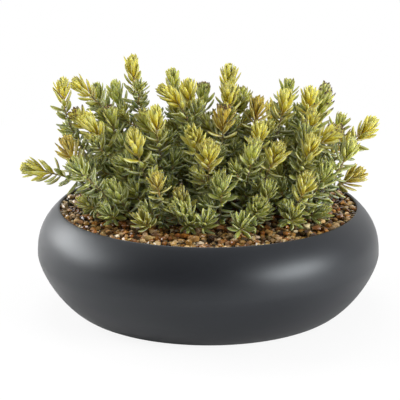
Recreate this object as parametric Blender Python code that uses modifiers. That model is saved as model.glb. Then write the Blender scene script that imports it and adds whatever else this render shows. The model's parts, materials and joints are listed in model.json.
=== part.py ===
"""A burro's tail (a trailing stonecrop) planted in a low round bowl, topped with gravel.

The bowl stands on its flat foot, whose centre is the origin; +Z is up and the planting's
front is towards -Y. Every sprig is one solid: a stem rooted through the gravel into the
growing mix, with its leaves and its tufted head grown out of the stem's own faces.
"""

import math

import bmesh
import bpy
import numpy as np
from mathutils import Matrix, Vector

MM = 0.001
UP = Vector((0, 0, 1))

# The bowl
BOWL_RADIUS = 200 * MM           # at its belly, the widest height
BELLY_HEIGHT = 66 * MM
RIM_HEIGHT = 121 * MM
RIM_RADIUS = 175.5 * MM          # outer edge of the lip
FOOT_RADIUS = 150 * MM           # flat face that it stands on
WALL = 5 * MM
LIP_ROUND = 0.8 * MM
FLOOR = 8 * MM
FOOT_CURVE = 2 / 1.4             # how tightly the side turns in under the belly
SHOULDER_CURVE = 2.6             # how late the side turns in towards the rim
BOWL_SEGMENTS = 40
OUTER_STEPS = (5, 7)             # facets down its outer side, above and below the belly
INNER_STEPS = (3, 4)             # the same inside, where the fill hides it

# What fills it
GRAVEL_TOP = 115 * MM
GRAVEL_BOTTOM = 101 * MM
FIT_GAP = 0.35 * MM              # left between pieces that touch
SIDE_GAP = 0.7 * MM              # from the fill to the bowl's sloping side
SOCKET_DEPTH = 12 * MM           # how far a stem goes down into the growing mix

# A sprig
STEM_SIDES = 5
STEM_RADIUS = 1.4 * MM
PAIR_HEIGHT = 3 * MM             # a stretch of stem that carries a pair of leaves
HEAD_SPREADS = (12, 22, 32)      # the head's leaves, in degrees from the stem, from the top
LOWER_SPREADS = (44, 50, 55, 60, 64)
LOWER_SPACING = 20 * MM          # between the pairs of leaves below the head, about
LOWEST_PAIR = 10 * MM            # no leaf grows out of the stem nearer the gravel than this
LEAF_TURN = math.radians(144)    # each leaf's turn round the stem from the last
LEAF_LENGTH = 18 * MM
LEAF_WIDTH = 5 * MM
LEAF_THICKNESS = 2.8 * MM
BELLY_AT = 0.5                   # a leaf is widest here, as a share of its length
SHORTER_LEAVES = (1.0, 0.85, 0.7, 0.55)
STEEPER_LEAVES = (0, 14, 28)     # degrees a leaf may turn up where it has no room

# A low side shoot
SHOOT_FROM = 5.5 * MM            # where it leaves its sprig's stem, above the gravel
SHOOT_LOWEST_PAIR = 7 * MM       # no leaf grows out of it nearer the stem than this
SHOOT = " shoot"                 # marks its rods among its sprig's, see Thicket

NEXT_SPRIG_TURN = 1.3            # each sprig's leaves start this much further round

# Room between sprigs
STEM_RODS = 12                   # straight pieces that a stem counts as
LEAF_ROOM = 2.5 * MM             # half the leaf's width, with a little air
STEM_ROOM = 1.7 * MM
ROOT_SPACING = 15 * MM
ROOT_DISC = 126 * MM             # no stem comes out of the gravel further from the middle

TONES = {
    "gold": (0.50, 0.42, 0.06),
    "lime": (0.34, 0.37, 0.09),
    "green": (0.16, 0.21, 0.07),
    "bronze": (0.34, 0.25, 0.06),
}

# Each sprig: the tone of its head, the middle of its head in millimetres, and how many
# degrees the head leans outward from upright. Where a head leans another way, a last number
# says how many degrees round from outward, seen from above.
PLANTING = {
    "left": [
        ("gold", -205, -5, 165, 75),
        ("gold", -168, 15, 258, -6),
        ("gold", -150, 30, 257, 50),
        ("gold", -150, 0, 226, 40, 50),
        ("gold", -135, -27, 224, 35, 35),
        ("bronze", -160, -25, 196, 15),
        ("lime", -149, -85, 189, 35),
        ("green", -106, -74, 158, 20),
    ],
    "middle_left": [
        ("green", -130, 60, 240, 10),
        ("lime", -113, -5, 230, 8),
        ("green", -110, 85, 238, 15),
        ("gold", -88, 25, 282, 0),
        ("lime", -72, -15, 227, 20),
        ("gold", -60, -35, 235, 0),
        ("gold", -84, -57, 212, 12),
        ("green", -101, -35, 180, 15),
    ],
    "middle": [
        ("bronze", -57, -98, 175, 5),
        ("lime", -42, 65, 259, 4),
        ("gold", -50, 5, 254, 55),
        ("gold", -23, 35, 251, 4),
        ("green", -5, 85, 238, 12),
        ("bronze", -32, -92, 153, 10),
        ("lime", -32, -105, 140, 55, -54),
        ("gold", -18, -50, 215, 40),
    ],
    "middle_right": [
        ("gold", 25, 50, 266, 8),
        ("gold", 24, 5, 252, 3),
        ("bronze", 18, -22, 231, 8),
        ("gold", 0, -76, 205, 12),
        ("lime", 39, 40, 240, 12),
        ("bronze", 56, 5, 237, 5),
        ("gold", 58, -27, 214, 5),
        ("gold", 77, -60, 198, 25),
        ("lime", 50, -62, 202, 10),
    ],
    "right": [
        ("green", 95, 85, 242, 5),
        ("gold", 89, 15, 242, 10),
        ("gold", 118, 20, 246, 3),
        ("lime", 136, 48, 243, 12),
        ("gold", 118, -10, 228, 5),
        ("lime", 153, 10, 218, 15),
        ("gold", 186, 0, 214, 40),
        ("gold", 142, -37, 214, 55),
        ("lime", 160, -48, 200, 15),
        ("bronze", 168, -25, 162, 48),
    ],
    "front": [
        ("gold", 108, -85, 170, 5),
        ("gold", 116, -52, 206, 8),
        ("lime", 56, -110, 149, 30),
        ("green", 132, -60, 175, 15),
        ("green", 15, -96, 170, 15),
        ("green", 128, -80, 135, 40),
    ],
    "back": [
        ("green", -165, 58, 195, 40),
        ("lime", -125, 105, 205, 30),
        ("green", -75, 130, 175, 40),
        ("gold", -25, 125, 215, 15),
        ("green", 35, 135, 180, 40),
        ("gold", 78, 122, 205, 20),
        ("lime", 128, 102, 190, 35),
        ("gold", 165, 52, 185, 45),
    ],
}

# Each low side shoot: the middle of its head in millimetres, and its lean, as above. The
# nearest sprig carries it.
SHOOTS = [
    (35, -130, 133, 20),
    (-72, -112, 132, 20),
    (-112, -84, 132, 50, -35),
    (-140, -62, 140, 50, -20),
    (95, -108, 138, 30),
    (66, -84, 158, 20),
    (-4, -120, 133, 20),
    (-150, 30, 160, 55),
    (-60, 115, 140, 45),
    (60, 128, 140, 45),
    (140, 60, 150, 45),
]


def clear_scene():
    for ob in list(bpy.data.objects):
        bpy.data.objects.remove(ob, do_unlink=True)


def new_collection(name):
    collection = bpy.data.collections.new(name)
    bpy.context.scene.collection.children.link(collection)
    return collection


def material(name, colour, roughness):
    mat = bpy.data.materials.new(name)
    mat.use_nodes = True
    shader = mat.node_tree.nodes["Principled BSDF"]
    shader.inputs["Base Color"].default_value = (*colour, 1)
    shader.inputs["Roughness"].default_value = roughness
    return mat


def new_object(name, bm, collection, mat=None, smooth=False):
    mesh = bpy.data.meshes.new(name)
    bm.to_mesh(mesh)
    bm.free()
    if mat:
        mesh.materials.append(mat)
    if smooth:
        mesh.shade_smooth()
        mesh.set_sharp_from_angle(angle=math.radians(40))
    ob = bpy.data.objects.new(name, mesh)
    collection.objects.link(ob)
    return ob


# ---------------------------------------------------------------- the bowl and its fill

def bowl_radius(z):
    """Outer radius of the bowl's side at height z."""
    if z >= BELLY_HEIGHT:
        rise = (z - BELLY_HEIGHT) / (RIM_HEIGHT - BELLY_HEIGHT)
        return BOWL_RADIUS - (BOWL_RADIUS - RIM_RADIUS) * rise ** SHOULDER_CURVE
    sine = ((BELLY_HEIGHT - z) / BELLY_HEIGHT) ** (1 / FOOT_CURVE)
    cosine = math.sqrt(max(0.0, 1 - sine * sine))
    return FOOT_RADIUS + (BOWL_RADIUS - FOOT_RADIUS) * cosine ** FOOT_CURVE


def side_heights(bottom, steps):
    """Heights down the bowl's side, from just under the rim to bottom."""
    above, below = steps
    upper = np.linspace(RIM_HEIGHT - 3 * MM, BELLY_HEIGHT, above + 1)
    angles = np.linspace(0, math.pi / 2, below + 1)[1:]
    lower = BELLY_HEIGHT - (BELLY_HEIGHT - bottom) * np.sin(angles) ** FOOT_CURVE
    return [float(z) for z in (*upper, *lower)]


def hollow():
    """The bowl's inner side, from its floor up, as facets just inside the true curve."""
    return [(bowl_radius(z) - WALL, z) for z in side_heights(FLOOR, INNER_STEPS)[::-1]]


def bowl_profile():
    """Half section of the bowl, down its outer side and back up its inner side."""
    lip = RIM_RADIUS - WALL / 2
    outer = [(bowl_radius(z), z) for z in side_heights(0, OUTER_STEPS)]
    return [(lip, RIM_HEIGHT), (RIM_RADIUS - LIP_ROUND, RIM_HEIGHT - LIP_ROUND), *outer,
            (0, 0), (0, FLOOR), *hollow(),
            (RIM_RADIUS - WALL + LIP_ROUND, RIM_HEIGHT - LIP_ROUND)]


def fill_profile(top, bottom):
    """Half section of what fills the bowl's hollow between two heights."""
    radii, heights = zip(*hollow())
    levels = [top, *[z for z in reversed(heights) if bottom < z < top], bottom]
    side = [(float(np.interp(z, heights, radii)) - SIDE_GAP, z) for z in levels]
    return [(0, top), *side, (0, bottom)]


def turned(name, profile, closed, collection, mat):
    """A profile in the XZ plane, turned round the Z axis with a Screw modifier."""
    bm = bmesh.new()
    verts = [bm.verts.new((r, 0, z)) for r, z in profile]
    for a, b in zip(verts, verts[1:]):
        bm.edges.new((a, b))
    if closed:
        bm.edges.new((verts[-1], verts[0]))
    ob = new_object(name, bm, collection, mat)
    screw = ob.modifiers.new("turn", "SCREW")
    screw.steps = screw.render_steps = BOWL_SEGMENTS
    screw.use_merge_vertices = True
    screw.merge_threshold = 0.00001
    screw.use_smooth_shade = True
    return ob


# ---------------------------------------------------------------- where the sprigs go

def outward(x, y):
    """Unit vector from the middle of the bowl towards (x, y)."""
    far = Vector((x, y, 0))
    return far.normalized() if far.length > 1e-6 else Vector((0, -1, 0))


def first_root(head, heading):
    """Where a sprig's stem leaves the gravel: under its head, pulled in towards the middle."""
    way = outward(*head.xy)
    pull = 1 - 2.0 * (head.z - GRAVEL_TOP) - 0.25 * heading.dot(way)
    return way * min(ROOT_DISC, head.xy.length * pull)


def spread_roots(roots):
    """Push stems that would come up too close to each other apart, a little at a time."""
    for _ in range(60):
        for i, a in enumerate(roots):
            for b in roots[:i]:
                apart = a - b
                short = ROOT_SPACING - apart.length
                if short > 0:
                    push = (apart.normalized() if apart.length > 1e-6 else Vector((1, 0, 0)))
                    a += push * short / 2
                    b -= push * short / 2
        for a in roots:
            if a.length > ROOT_DISC:
                a *= ROOT_DISC / a.length
    return roots


def head_and_heading(x, y, z, lean, round_from_outward=0):
    """Where a head is, and which way it points: leaned over from upright."""
    tilt = math.radians(lean)
    way = Matrix.Rotation(math.radians(round_from_outward), 3, "Z") @ outward(x, y)
    return Vector((x, y, z)) * MM, way * math.sin(tilt) + UP * math.cos(tilt)


def plan():
    """One row per sprig: name, tone, root on the gravel, growing point and its direction."""
    rows = []
    for zone, sprigs in PLANTING.items():
        for number, (tone, *place) in enumerate(sprigs, 1):
            head, heading = head_and_heading(*place)
            root = first_root(head, heading)
            rows.append([f"sprig_{zone}_{number}", tone, root, head, heading])
    spread_roots([row[2] for row in rows])
    return rows


def plan_shoots(rows):
    """The growing point and the direction of each sprig's side shoot, by the sprig's name."""
    carried = {}
    for place in SHOOTS:
        head, heading = head_and_heading(*place)
        ground = Vector((head.x, head.y, 0))
        free = [row for row in rows if row[0] not in carried and row[2].length < ground.length]
        carrier = min(free, key=lambda row: (row[2] - ground).length)
        carried[carrier[0]] = (head, heading)
    return carried


# ---------------------------------------------------------------- room between the sprigs

def gap_between(a, b, starts, ends):
    """Least distance from the segment a-b to each of the segments starts-ends."""
    d1, d2, r = b - a, ends - starts, a - starts
    aa = d1 @ d1
    ee = np.einsum("ij,ij->i", d2, d2)
    ff = np.einsum("ij,ij->i", d2, r)
    cc = r @ d1
    bb = d2 @ d1
    spare = aa * ee - bb * bb
    s = np.clip(np.where(spare > 1e-18, (bb * ff - cc * ee) / np.maximum(spare, 1e-18), 0), 0, 1)
    t = np.clip((bb * s + ff) / ee, 0, 1)
    s = np.clip((bb * t - cc) / aa, 0, 1)
    between = (a + np.outer(s, d1)) - (starts + t[:, None] * d2)
    return np.linalg.norm(between, axis=1)


class Thicket:
    """Every stem and leaf placed so far, as rounded rods, so that no two sprigs touch."""

    def __init__(self):
        self.rods = []

    def add(self, owner, a, b, radius):
        self.rods.append((owner, *a, *b, radius))

    def clear(self, owner, a, b, radius):
        """Whether a rod from a to b would stay clear of every other sprig's rods."""
        others = np.array([rod[1:] for rod in self.rods if rod[0] != owner])
        if not len(others):
            return True
        gaps = gap_between(np.array(a), np.array(b), others[:, 0:3], others[:, 3:6])
        return bool(np.all(gaps > others[:, 6] + radius))


# ---------------------------------------------------------------- one sprig

class Stem:
    """A stem's centre line: one smooth curve from where it starts to its growing point."""

    SAMPLES = 40

    def __init__(self, start, setting_out, head, heading):
        pull = 0.4 * (head - start).length
        points = [start, start + setting_out * pull, head - heading * pull, head]
        self.points = [self.on_curve(points, i / self.SAMPLES) for i in range(self.SAMPLES + 1)]
        steps = [(b - a).length for a, b in zip(self.points, self.points[1:])]
        self.along = np.concatenate([[0], np.cumsum(steps)])
        self.length = float(self.along[-1])

    @staticmethod
    def on_curve(points, t):
        """A point of the cubic Bezier curve through the four points given."""
        while len(points) > 1:
            points = [a.lerp(b, t) for a, b in zip(points, points[1:])]
        return points[0]

    def at(self, distance):
        """The point and the direction of the stem at a distance along it."""
        i = int(np.clip(np.searchsorted(self.along, distance) - 1, 0, self.SAMPLES - 1))
        a, b = self.points[i], self.points[i + 1]
        share = (distance - self.along[i]) / (self.along[i + 1] - self.along[i])
        return a.lerp(b, float(share)), (b - a).normalized()


def leaf_pairs(length, lowest):
    """Where the pairs of leaves sit: each one's lower and upper end along the stem, and how
    far its leaves spread from the stem, in degrees, from the lowest pair up."""
    pairs = []
    low = length
    for spread in HEAD_SPREADS:
        pairs.append((low - PAIR_HEIGHT, low, spread))
        low -= PAIR_HEIGHT
    stretch = low - lowest
    count = int(np.clip(round(stretch / LOWER_SPACING), 0, len(LOWER_SPREADS)))
    for spread in LOWER_SPREADS[:count]:
        low -= stretch / count - PAIR_HEIGHT
        pairs.append((low - PAIR_HEIGHT, low, spread))
        low -= PAIR_HEIGHT
    return pairs[::-1]


def stem_levels(length, lowest):
    """Every ring of the stem along it, with the spread of the leaves just under it."""
    levels = []
    last = 0
    for low, high, spread in leaf_pairs(length, lowest):
        if low - last > 0.1 * MM:
            levels.append((low, None))
        levels.append((high, spread))
        last = high
    return levels


def extend(bm, cap, centre, axis, side):
    """Extrude the stem's end face to a ring round centre; returns the new end face."""
    cap = bmesh.ops.extrude_discrete_faces(bm, faces=[cap])["faces"][0]
    across = axis.cross(side).normalized()
    side = across.cross(axis)
    for corner, vert in enumerate(cap.verts):
        turn = 2 * math.pi * corner / len(cap.verts)
        vert.co = centre + STEM_RADIUS * (side * math.cos(turn) + across * math.sin(turn))
    return cap, side


def side_faces(cap):
    """The faces of the stretch of stem that ends at cap."""
    return [face for edge in cap.edges for face in edge.link_faces if face is not cap]


def facing(faces, centre, way):
    """The face of a stretch of stem that looks most in one direction."""
    return max(faces, key=lambda face: (face.calc_center_median() - centre).dot(way))


def round_the_stem(axis, turn):
    """The direction out of the stem, by a turn round its axis."""
    north = axis.cross(Vector((1, 0, 0))).normalized()
    east = north.cross(axis)
    return east * math.cos(turn) + north * math.sin(turn)


def leaf_heading(face, centre, axis, spread):
    """The direction of the leaf that grows out of this face of the stem."""
    out = face.calc_center_median() - centre
    out = (out - axis * out.dot(axis)).normalized()
    return out * math.sin(spread) + axis * math.cos(spread)


def grow_leaf(bm, face, axis, heading, length):
    """Grow a leaf out of one face of the stem: its base, its belly and its pointed tip."""
    base = face.calc_center_median()
    over = (axis - heading * axis.dot(heading)).normalized()
    across = heading.cross(over)
    belly = base + heading * BELLY_AT * length - over * 0.05 * length
    face = bmesh.ops.extrude_discrete_faces(bm, faces=[face])["faces"][0]
    for vert in face.verts:
        offset = vert.co - base
        level = math.copysign(LEAF_THICKNESS / 2, offset.dot(axis))
        sideways = math.copysign(LEAF_WIDTH / 2, offset.dot(across))
        vert.co = belly + over * level + across * sideways
    tip = bmesh.ops.poke(bm, faces=[face])["verts"][0]
    tip.co = base + heading * length + over * 0.06 * length


def place_leaf(bm, owner, face, centre, axis, spread, thicket):
    """Grow the longest leaf that has room here, turned up if need be, or none."""
    base = face.calc_center_median()
    for share in SHORTER_LEAVES:
        length = LEAF_LENGTH * share
        for steeper in STEEPER_LEAVES:
            angle = math.radians(max(HEAD_SPREADS[0], spread - steeper))
            heading = leaf_heading(face, centre, axis, angle)
            a, b = base + heading * LEAF_ROOM, base + heading * (length - LEAF_ROOM / 2)
            above = min(a.z, b.z) - LEAF_ROOM > GRAVEL_TOP
            if above and thicket.clear(owner, a, b, LEAF_ROOM):
                grow_leaf(bm, face, axis, heading, length)
                thicket.add(owner, a, b, LEAF_ROOM)
                return


def grow_bud(bm, cap, centre, axis):
    """Close the stem's end with the pointed bud in the middle of the head."""
    cap = bmesh.ops.extrude_discrete_faces(bm, faces=[cap])["faces"][0]
    for vert in cap.verts:
        vert.co += axis * 0.4 * LEAF_LENGTH
    tip = bmesh.ops.poke(bm, faces=[cap])["verts"][0]
    tip.co = centre + axis * 0.85 * LEAF_LENGTH


def grow_branch(bm, cap, side, stem, lowest, owner, turn, thicket):
    """Grow one stem out of the face cap, up to its bud, and then its pairs of leaves."""
    pairs = []
    for level, spread in stem_levels(stem.length, lowest):
        centre, axis = stem.at(level)
        cap, side = extend(bm, cap, centre, axis, side)
        if spread:
            pairs.append((side_faces(cap), *stem.at(level - PAIR_HEIGHT / 2), spread))
    grow_bud(bm, cap, centre, axis)
    for faces, centre, axis, spread in reversed(pairs):
        ways = [round_the_stem(axis, turn + k * LEAF_TURN) for k in (1, 2)]
        for face in [facing(faces, centre, way) for way in ways]:
            place_leaf(bm, owner, face, centre, axis, spread, thicket)
        turn += 2 * LEAF_TURN


def grow_sprig(name, stem, shoot, turn, thicket):
    """One sprig: its foot in the growing mix, its stem with its leaves, and its side shoot."""
    bm = bmesh.new()
    ground = stem.at(0)[0]
    foot = Vector((ground.x, ground.y, GRAVEL_BOTTOM - SOCKET_DEPTH + FIT_GAP))
    bmesh.ops.create_cone(bm, cap_ends=True, segments=STEM_SIDES, radius1=STEM_RADIUS,
                          radius2=STEM_RADIUS, depth=ground.z - foot.z)
    bmesh.ops.translate(bm, verts=bm.verts, vec=(foot + ground) / 2)
    cap = max(bm.faces, key=lambda face: face.calc_center_median().z)
    side = (cap.verts[0].co - ground).normalized()
    if shoot:
        for level in (SHOOT_FROM - PAIR_HEIGHT / 2, SHOOT_FROM + PAIR_HEIGHT / 2):
            cap, side = extend(bm, cap, *stem.at(level), side)
        start, setting_out = shoot.at(0)
        joint = facing(side_faces(cap), start, setting_out)
        corner = joint.verts[0].co - joint.calc_center_median()
        grow_branch(bm, joint, corner, shoot, SHOOT_LOWEST_PAIR, name + SHOOT, turn, thicket)
    grow_branch(bm, cap, side, stem, LOWEST_PAIR, name, turn, thicket)
    bmesh.ops.recalc_face_normals(bm, faces=bm.faces)
    return bm


def lay_rods(thicket, owner, stem):
    """Count a stem and its bud as rods, so that leaves keep off them."""
    line = [stem.at(d)[0] for d in np.linspace(0, stem.length, STEM_RODS)]
    head, heading = stem.at(stem.length)
    line.append(head + heading * 0.8 * LEAF_LENGTH)
    for a, b in zip(line, line[1:]):
        thicket.add(owner, a, b, STEM_ROOM)


def plant(collection, finishes):
    """Place every stem first, then let each sprig take the room left for its leaves.
    Returns where the stems go through the gravel."""
    rows = plan()
    heads = plan_shoots(rows)
    thicket = Thicket()
    stems = {}
    shoots = {}
    for name, _, root, head, heading in rows:
        start = root + UP * (GRAVEL_TOP + 0.5 * MM)
        stems[name] = Stem(start, UP, head, heading)
        lay_rods(thicket, name, stems[name])
        if name in heads:
            start = stems[name].at(SHOOT_FROM)[0]
            setting_out = (outward(*(heads[name][0] - start).xy) + UP / 2).normalized()
            shoots[name] = Stem(start, setting_out, *heads[name])
            lay_rods(thicket, name + SHOOT, shoots[name])
    for number, (name, tone, *_) in enumerate(rows):
        turn = number * NEXT_SPRIG_TURN
        bm = grow_sprig(name, stems[name], shoots.get(name), turn, thicket)
        new_object(name, bm, collection, finishes[tone])
    return [row[2] for row in rows]


def socket_cutter(name, roots, bottom, top, collection):
    """The holes that the stems pass through, as one cutter."""
    bm = bmesh.new()
    for root in roots:
        made = bmesh.ops.create_cone(bm, cap_ends=True, segments=STEM_SIDES,
                                     radius1=STEM_RADIUS + 2 * FIT_GAP,
                                     radius2=STEM_RADIUS + 2 * FIT_GAP, depth=top - bottom)
        middle = Vector((root.x, root.y, (top + bottom) / 2))
        bmesh.ops.translate(bm, verts=made["verts"], vec=middle)
    cutter = new_object(name, bm, collection)
    cutter.hide_render = True
    cutter.display_type = "WIRE"
    return cutter


def cut(ob, cutter):
    boolean = ob.modifiers.new("sockets", "BOOLEAN")
    boolean.operation = "DIFFERENCE"
    boolean.object = cutter


def main():
    clear_scene()
    parts = new_collection("potted_burros_tail")
    cutters = new_collection("cutters")
    bowl_finish = material("charcoal_bowl", (0.045, 0.047, 0.05), 0.45)
    gravel_finish = material("gravel", (0.42, 0.26, 0.14), 0.3)
    soil_finish = material("growing_mix", (0.05, 0.035, 0.025), 0.95)
    leaf_finishes = {tone: material(f"{tone}_sprig", colour, 0.5)
                     for tone, colour in TONES.items()}

    turned("bowl", bowl_profile(), True, parts, bowl_finish)
    gravel = turned("gravel_bed", fill_profile(GRAVEL_TOP, GRAVEL_BOTTOM), False, parts,
                    gravel_finish)
    soil = turned("growing_mix", fill_profile(GRAVEL_BOTTOM - FIT_GAP, FLOOR + FIT_GAP),
                  False, parts, soil_finish)
    roots = plant(parts, leaf_finishes)
    over = 5 * MM
    cut(gravel, socket_cutter("gravel_sockets", roots, GRAVEL_BOTTOM - over,
                              GRAVEL_TOP + over, cutters))
    cut(soil, socket_cutter("soil_sockets", roots, GRAVEL_BOTTOM - SOCKET_DEPTH,
                            GRAVEL_BOTTOM + over, cutters))


main()
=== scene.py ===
# %% [markdown]
# # A potted burro's tail plant
#
# This lesson dresses a finished construction model of a planted bowl. The construction model
# says where everything is: one bowl, a bed of gravel, the growing mix under it and a few dozen
# leafy sprigs. The lesson gives each of them the surface that the real one has.
#
# The file runs from top to bottom, a cell at a time. Sizes are in metres, with Z up.

# %% Load the construction model
import bisect
import json
import math
import random
from collections import namedtuple

import bmesh
import bpy
from mathutils import Matrix, Vector, noise


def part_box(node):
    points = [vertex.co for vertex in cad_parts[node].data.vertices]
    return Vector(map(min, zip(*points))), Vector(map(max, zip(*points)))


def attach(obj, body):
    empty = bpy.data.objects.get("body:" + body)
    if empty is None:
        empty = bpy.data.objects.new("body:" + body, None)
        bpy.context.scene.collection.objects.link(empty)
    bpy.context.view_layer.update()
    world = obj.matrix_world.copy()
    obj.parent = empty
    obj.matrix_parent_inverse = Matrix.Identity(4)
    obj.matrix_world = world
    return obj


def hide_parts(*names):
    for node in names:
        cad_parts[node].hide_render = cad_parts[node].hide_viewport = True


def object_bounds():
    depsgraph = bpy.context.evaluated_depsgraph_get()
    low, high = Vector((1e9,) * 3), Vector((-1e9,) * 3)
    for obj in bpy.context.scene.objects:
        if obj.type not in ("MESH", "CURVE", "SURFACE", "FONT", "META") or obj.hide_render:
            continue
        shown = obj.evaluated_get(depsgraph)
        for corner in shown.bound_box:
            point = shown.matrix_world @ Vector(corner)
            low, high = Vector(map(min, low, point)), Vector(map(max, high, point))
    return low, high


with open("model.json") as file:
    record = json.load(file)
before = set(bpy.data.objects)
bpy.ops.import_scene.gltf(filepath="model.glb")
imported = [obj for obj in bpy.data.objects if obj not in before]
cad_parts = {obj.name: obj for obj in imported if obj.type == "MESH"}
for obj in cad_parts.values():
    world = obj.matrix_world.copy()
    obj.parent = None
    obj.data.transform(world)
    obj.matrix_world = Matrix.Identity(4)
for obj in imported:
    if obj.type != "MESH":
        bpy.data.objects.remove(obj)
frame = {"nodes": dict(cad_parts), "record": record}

MM = 0.001
NODES = frame["nodes"]
CAD_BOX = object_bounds()
CHANCE = random.Random(8)
scene = bpy.context.scene
print("construction model:", len(NODES), "nodes, box", [list(corner) for corner in CAD_BOX])

# %% [markdown]
# ## The camera
#
# The plant is looked at from a little above its rim, through a long lens and from far enough
# away that the bowl's far side isn't much smaller than its near side. An empty target could aim
# the camera, but turning its -Z axis towards a point needs no extra object.

# %% The camera
VIEW_HEIGHT = math.radians(15.33)
VIEW_DISTANCE = 2.2
LOOK_AT = Vector((-9.7 * MM, 0, 126.2 * MM))
LENS = 169.3                   # a long lens, in millimetres
FAR_AWAY = 50                  # nothing past this is drawn

camera_data = bpy.data.cameras.new("camera")
camera_data.lens = LENS
camera_data.clip_end = FAR_AWAY
camera = bpy.data.objects.new("camera", camera_data)
scene.collection.objects.link(camera)
towards_camera = Vector((0, -math.cos(VIEW_HEIGHT), math.sin(VIEW_HEIGHT)))
camera.location = LOOK_AT + VIEW_DISTANCE * towards_camera
camera.rotation_euler = towards_camera.to_track_quat("Z", "Y").to_euler()
scene.camera = camera
scene.view_settings.view_transform = "Standard"
print("camera at", [round(x, 3) for x in camera.location])

# %% [markdown]
# ## Finishes are node trees
#
# Every finish below is a Principled shader with a few nodes in front of it. Wiring them one
# call at a time is long to read, so a small class adds a node with its inputs in one line:
# another node's output is linked, and anything else is written on the socket itself.

# %% Helpers that wire nodes
class Wiring:
    """A node tree, and a short way to add nodes to it."""

    def __init__(self, tree):
        self.tree = tree

    def node(self, kind, inputs=None, **settings):
        """Add a node, set what it does, and fill or link its inputs."""
        made = self.tree.nodes.new("ShaderNode" + kind)
        for name, value in settings.items():
            setattr(made, name, value)
        self.fill(made, inputs or {})
        return made

    def fill(self, node, inputs):
        """Link each input to another node's output, or write the value given."""
        for name, value in inputs.items():
            if isinstance(value, bpy.types.NodeSocket):
                self.tree.links.new(value, node.inputs[name])
            else:
                node.inputs[name].default_value = value

    def remap(self, value, low, high, start=0, end=1):
        """A value that runs from start to end, stretched to run from low to high."""
        inputs = {"Value": value, "From Min": start, "From Max": end,
                  "To Min": low, "To Max": high}
        return self.node("MapRange", inputs).outputs["Result"]

    def seen(self, rays):
        """Whether the camera looks along a ray, straight or through something clear."""
        inputs = {0: rays["Is Camera Ray"], 1: rays["Is Transmission Ray"]}
        return self.node("Math", inputs, operation="MAXIMUM").outputs[0]


class Finish(Wiring):
    """A material with its shader, and the patterns that its colours are made of."""

    def __init__(self, name):
        self.material = bpy.data.materials.new(name)
        self.material.use_nodes = True
        super().__init__(self.material.node_tree)
        self.shader = self.tree.nodes["Principled BSDF"]
        self.output = self.tree.nodes["Material Output"]

    def noise(self, scale, detail=3, roughness=0.5):
        """Noise in the piece's own coordinates, so it never slides over the surface."""
        place = self.node("TexCoord").outputs["Object"]
        inputs = {"Vector": place, "Scale": scale, "Detail": detail, "Roughness": roughness}
        return self.node("TexNoise", inputs).outputs["Fac"]

    def ramp(self, value, stops):
        """Colours at places along a value."""
        made = self.node("ValToRGB", {"Fac": value})
        band = made.color_ramp
        while len(band.elements) < len(stops):
            band.elements.new(1)
        for element, (place, colour) in zip(band.elements, stops):
            element.position = place
            element.color = (*colour, 1)
        return made.outputs["Color"]

    def greys(self, value, stops):
        """Grey levels at places along a value."""
        return self.ramp(value, [(place, (level, level, level)) for place, level in stops])

    def mix(self, share, a, b, blend="MIX"):
        """One colour over another, by a share."""
        a, b = ((*colour, 1) if isinstance(colour, tuple) else colour for colour in (a, b))
        made = self.node("Mix", {0: share, 6: a, 7: b}, data_type="RGBA", blend_type=blend)
        return made.outputs[2]

    def attribute(self, name, output="Fac"):
        """What the mesh itself says at each vertex."""
        return self.node("Attribute", attribute_name=name).outputs[output]

    def bump(self, height, strength, distance):
        """Small relief that only the light sees."""
        inputs = {"Height": height, "Strength": strength, "Distance": distance}
        self.fill(self.shader, {"Normal": self.node("Bump", inputs).outputs["Normal"]})


# %% Helpers that make meshes
def new_mesh(name, bm):
    """A mesh of what bm holds, which is freed."""
    mesh = bpy.data.meshes.new(name)
    bm.to_mesh(mesh)
    bm.free()
    return mesh


def new_piece(name, bm, finish):
    """A smooth-shaded object made of bm, with its finish."""
    mesh = new_mesh(name, bm)
    mesh.materials.append(finish.material)
    mesh.shade_smooth()
    piece = bpy.data.objects.new(name, mesh)
    scene.collection.objects.link(piece)
    return piece


def move_into(bm, mesh, values):
    """Add a small mesh to bm, write values to its vertices, and remove the mesh itself."""
    first = len(bm.verts)
    bm.from_mesh(mesh)
    bpy.data.meshes.remove(mesh)
    bm.verts.ensure_lookup_table()
    for vert in bm.verts[first:]:
        for layer, value in values:
            vert[layer] = value


# %% [markdown]
# ## A pale studio
#
# The plant stands on a white sweep in soft light. A curved backdrop would do as well, but one
# large plane meets the white sky without a seam. To the camera it is nearly plain white, with
# a little of its real, shaded self mixed in near the bowl, which keeps its soft shadow.

# %% The floor
WHITE = (1, 1, 1, 1)
PALE = (0.88, 0.88, 0.88, 1)
FLOOR_REACH = 9                # from its middle to each of its sides
FLOOR_SHADE = 0.12             # how much of the floor's own light and shadow shows
SHADE_FADES = (0.35, 1.0)      # from here to here, away from the bowl, it fades to none

sweep = Finish("white_sweep")
sweep.fill(sweep.shader, {"Base Color": PALE, "Roughness": 0.9})
rays = sweep.node("LightPath").outputs
seen = sweep.seen(rays)
glow = sweep.node("Emission", {"Color": WHITE, "Strength": 1}).outputs[0]
place = sweep.node("TexCoord").outputs["Object"]
away = sweep.node("VectorMath", {0: place}, operation="LENGTH").outputs["Value"]
white = sweep.remap(away, 1 - FLOOR_SHADE, 1, *SHADE_FADES)
share = sweep.remap(seen, 0, white)
blend = sweep.node("MixShader", {0: share, 1: sweep.shader.outputs[0], 2: glow})
sweep.fill(sweep.output, {"Surface": blend.outputs[0]})

bm = bmesh.new()
bmesh.ops.create_grid(bm, x_segments=1, y_segments=1, size=FLOOR_REACH)
floor = new_piece("floor", bm, sweep)
print("floor at z = 0")

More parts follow.
